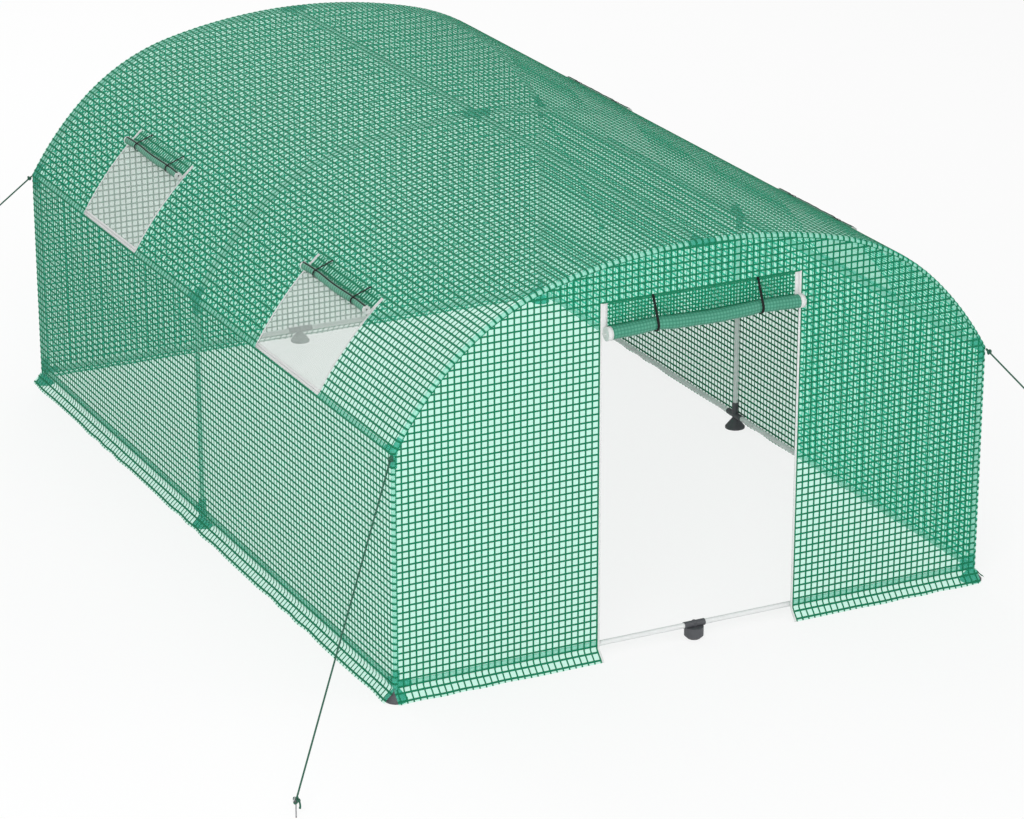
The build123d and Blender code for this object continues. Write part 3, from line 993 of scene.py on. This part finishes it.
def makeWindows(sideName, side):
    path = flapPath(window["height"], window["flapDrop"], window["rollRadius"], window["core"],
                    window["perTurn"])
    half = window["width"] / 2
    ties = [share * window["width"] for share in window["tieShares"]]
    bays = []
    for y in window["bays"]:
        axes = windowAxes(side, y)
        film, grid, zips, straps = flapParts(path, half, ties, axes, window)
        black = joined([straps, pipingParts(path, half, ties, axes)])
        bays.append((film, grid, zips, black) + screenParts(side, y))
    film, grid, zips, black, screens, net, tapes = (joined(parts) for parts in zip(*bays))
    rolls = putPiece(sideName + "WindowFlaps", film, mintFilm,
                     [sideName + "_window_rolls"], True)
    markRolled(rolls, path, windowRoll)
    threads = putPiece(sideName + "WindowFlapThreads", grid, greenThread)
    zipped = putPiece(sideName + "WindowZips", zips, whiteRibbon, (), True)
    putPiece(sideName + "WindowTies", black, blackRibbon,
             [sideName + "_window_ties"], True)
    screen = putPiece(sideName + "Screens", screens, screenCloth,
                      [sideName + "_window_screens"], True)
    mesh = putPiece(sideName + "ScreenNet", net, netThread)
    tape = putPiece(sideName + "WindowTapes", tapes, whiteRibbon,
                    [sideName + "_window_tapes"], True)
    flat = (2 * window["width"], window["height"])


makeWindows("left", -1)
makeWindows("right", 1)
print("windows done")


# bent roof tubes

# Round tube along the hoop's axis line, between the sockets at ridge and knee.
def makeArches():
    stop = hoop["stop"]
    inner = rightHalf[:, 0]
    inner = inner[(inner > 2 * stop) & (inner < kneeDistance - 2 * stop)]
    along = np.concatenate([[stop], inner, [kneeDistance - stop]])
    x, z = (np.interp(along, axisLine[:, 0], axisLine[:, k]) for k in (1, 2))
    for row, y in (("front", -hoop["halfLength"]), ("middle", 0.0), ("rear", hoop["halfLength"])):
        paths = np.stack([stacked(side * x, y, z) for side in (-1, 1)])
        tube = rods(paths, hoop["tube"], hoop["sides"], rearward)
        putPiece(row + "Bows", tube, whiteTube, [row + "_arch"], True)


makeArches()
print("bows done")


# door edges

jamb = {
    "width": 0.010,
    "thick": 0.0024,
    "lap": 0.002,  # ribbon over the doorway's edge
    "lift": 0.0008,
    "steps": 12,
    "toothPitch": 0.005,
    "toothSize": (0.0042, 0.0022, 0.0036),
    "firstTooth": 0.01,
    "hemWidth": 0.0076,
    "hemThick": 0.003,
    "hemRise": 0.002,
}


# Ribbon down each door edge from the header to the fold and on down the skirt's end, with a row of zip
# teeth on its inner edge, and the header's sewn hem.
def makeJambs():
    half, head, front = doorway["half"], doorway["head"], -wallY - jamb["lift"]
    t = np.linspace(0, 1, skirt["steps"])
    z = np.linspace(head, hoop["fold"], jamb["steps"])[:-1]
    rows = np.arange(hoop["fold"] + jamb["firstTooth"], head - door["drop"], jamb["toothPitch"])
    long, tall, deep = jamb["toothSize"]
    ribbons, teeth = [], []
    for way in (-1, 1):
        x = way * (half + jamb["width"] / 2 - jamb["lap"])
        upright = stacked(x, front, z)
        hem = skirtPlaces(np.full_like(t, x), t, 1, -1, -front)
        route = np.concatenate([upright, hem])[None]
        facing = np.cross(unit(np.gradient(route, axis=1)), rightward)
        ribbons.append(bands(route, rightward, facing, jamb["width"], jamb["thick"]))
        ends = way * half + np.array((-long, long)) / 2
        row = stacked(ends[None, :], front, rows[:, None])
        teeth.append(bands(row, upward, rearward, tall, deep))
    putPiece("doorEdgeRibbons", joined(ribbons), whiteRibbon, ["door_zips"])
    putPiece("doorEdgeTeeth", joined(teeth), whiteTube)
    ends = np.array((-half, half))
    hem = stacked(ends, front, head + jamb["hemRise"])[None]
    sewn = bands(hem, upward, -rearward, jamb["hemWidth"], jamb["hemThick"])
    putPiece("headerHem", sewn, greenThread)


makeJambs()
print("door edges done")


# guy ropes and pegs

guy = {
    "drop": 0.010,  # knee to rope top
    "reach": 0.85,  # leg to peg, along both sides
    "tie": 0.075,  # height of the rope on its peg
    "lift": 0.001,  # rope's end over the film
    "radius": 0.0042,
    "strand": 0.53,  # strand and its helix, as shares of the radius
    "lay": 0.02,  # one turn of the strands
    "laySteps": 8,
    "strandSides": 6,
    "sides": 8,
    "topKnot": (0.014, 0.0034),  # distance from the rope's end, size
    "lowKnot": (0.007, 0.0050),
    "knotDepth": 1.4,  # stretch of a knot along the rope
    "knotLean": 0.13,  # keeps the knot's steady direction off its own path
    "knotSteps": 48,
    "topLoop": (0.005, 0.011, 0.007),  # middle's distance from the end, half length, half width
    "lowLoop": (0.002, 0.014, 0.0085),
    "loopShare": 0.8,  # loop's thickness, in the rope's
    "loopSteps": 32,
    "tail": (0.011, 0.007, 0.036),  # start and spread sideways, fall
    "tailLean": 0.004,  # outwards at its end
    "tailBend": 2.2,  # angle of its sideways curve at its end
    "tailFray": 0.25,  # how much thicker its end is
    "tailSteps": 12,
    "hook": 0.012,
    "wire": 0.003,
    "wireSides": 10,
    "pegSteps": (9, 15),  # points up the wire and round the hook
}


def squareTo(along):  # two directions square to a line
    first = unit(np.cross(along, upward))
    return first, np.cross(along, first)


# Three strands round a straight line: each is a helix of about half the rope's radius.
def twisted(start, end):
    length = np.linalg.norm(end - start)
    along = (end - start) / length
    first, second = squareTo(along)
    s = np.linspace(0, length, int(length / guy["lay"] * guy["laySteps"]))
    turn = 2 * np.pi * s[None, :] / guy["lay"] + 2 * np.pi / 3 * np.arange(3)[:, None]
    offset = np.cos(turn)[..., None] * first + np.sin(turn)[..., None] * second
    strand = guy["radius"] * guy["strand"]
    return rods(start + s[None, :, None] * along + offset * strand, strand, guy["strandSides"], first)


# Closed overhand knot about a point: the trefoil (sin t + 2 sin 2t, cos t - 2 cos 2t, - depth sin 3t).
def knotAt(place, along, size):
    first, second = squareTo(along)
    t = np.linspace(0, 2 * np.pi, guy["knotSteps"], endpoint=False)[:, None]
    a, b = np.sin(t) + 2 * np.sin(2 * t), np.cos(t) - 2 * np.cos(2 * t)
    c = -guy["knotDepth"] * np.sin(3 * t)
    path = place + size * (a * first + b * second + c * along)
    return rods(path[None], guy["radius"], guy["sides"], along + guy["knotLean"] * first, ring=True)


# Loop of rope from a knot round what holds it: a flat ellipse in the plane of two directions.
def loopAt(middle, along, sideways, long, wide):
    t = np.linspace(0, 2 * np.pi, guy["loopSteps"], endpoint=False)[:, None]
    path = middle + np.cos(t) * along * long + np.sin(t) * sideways * wide
    radius = guy["radius"] * guy["loopShare"]
    return rods(path[None], radius, guy["sides"], np.cross(along, sideways), ring=True)


# Hooked peg: an upright wire and a half round of the hook's radius, turned outwards.
def pegAt(peg, outward, sideways):
    top = guy["tie"] + 2 * guy["radius"]
    riseSteps, hookSteps = guy["pegSteps"]
    rise = np.linspace(0, top, riseSteps)[:-1, None]
    bend = np.linspace(math.pi, 0, hookSteps)[:, None]
    out = np.concatenate([np.zeros_like(rise), guy["hook"] * (1 + np.cos(bend))])
    up = np.concatenate([rise, top + guy["hook"] * np.sin(bend)])
    path = peg - upward * peg[2] + out * outward + up * upward
    return rods(path[None], guy["wire"], guy["wireSides"], sideways)


def guyParts(xWay, yWay):
    outward = unit(np.array((xWay, yWay, 0.0)))
    sideways = np.cross(upward, outward)
    lift, reach = guy["lift"], guy["reach"]
    corner = np.array((xWay * (sideX + lift), yWay * (wallY + lift), hoop["eave"] - guy["drop"]))
    peg = np.array((xWay * (hoop["halfSpan"] + reach), yWay * (hoop["halfLength"] + reach), guy["tie"]))
    along = unit(peg - corner)
    topKnot, lowKnot = corner + along * guy["topKnot"][0], peg - along * guy["lowKnot"][0]
    topLoop, lowLoop = corner + along * guy["topLoop"][0], peg - along * guy["lowLoop"][0]
    start, spread, fall = guy["tail"]
    t = np.linspace(0, 1, guy["tailSteps"])[:, None]
    curve = sideways * (start + spread * np.sin(t * guy["tailBend"]))
    tail = lowKnot + curve - upward * fall * t + outward * guy["tailLean"] * t
    rope = [
        twisted(topKnot, lowKnot),
        knotAt(topKnot, along, guy["topKnot"][1]),
        knotAt(lowKnot, along, guy["lowKnot"][1]),
        loopAt(topLoop, along, sideways, *guy["topLoop"][1:]),
        loopAt(lowLoop, along, sideways, *guy["lowLoop"][1:]),
        rods(tail[None], guy["radius"] * (1.0 + guy["tailFray"] * t[:, 0] ** 4), guy["sides"], outward),
    ]
    return joined(rope), pegAt(peg, outward, sideways)


def makeGuys():
    corners = [(xWay, yWay) for xWay in (-1, 1) for yWay in (-1, 1)]
    ropes, pegs = (joined(parts) for parts in zip(*[guyParts(*corner) for corner in corners]))
    putPiece("guyRopes", ropes, greenCord, ["guy_ropes"], True)
    putPiece("guyPegs", pegs, pegWire, ["guy_pegs"], True)


makeGuys()
print("ropes and pegs done")


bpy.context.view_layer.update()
counts = {}
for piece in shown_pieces():
    if piece.type == "MESH":
        counts[piece.name] = sum(len(polygon.vertices) - 2 for polygon in piece.data.polygons)
print("triangles", sum(counts.values()), "and most in", max(counts, key=counts.get), max(counts.values()))
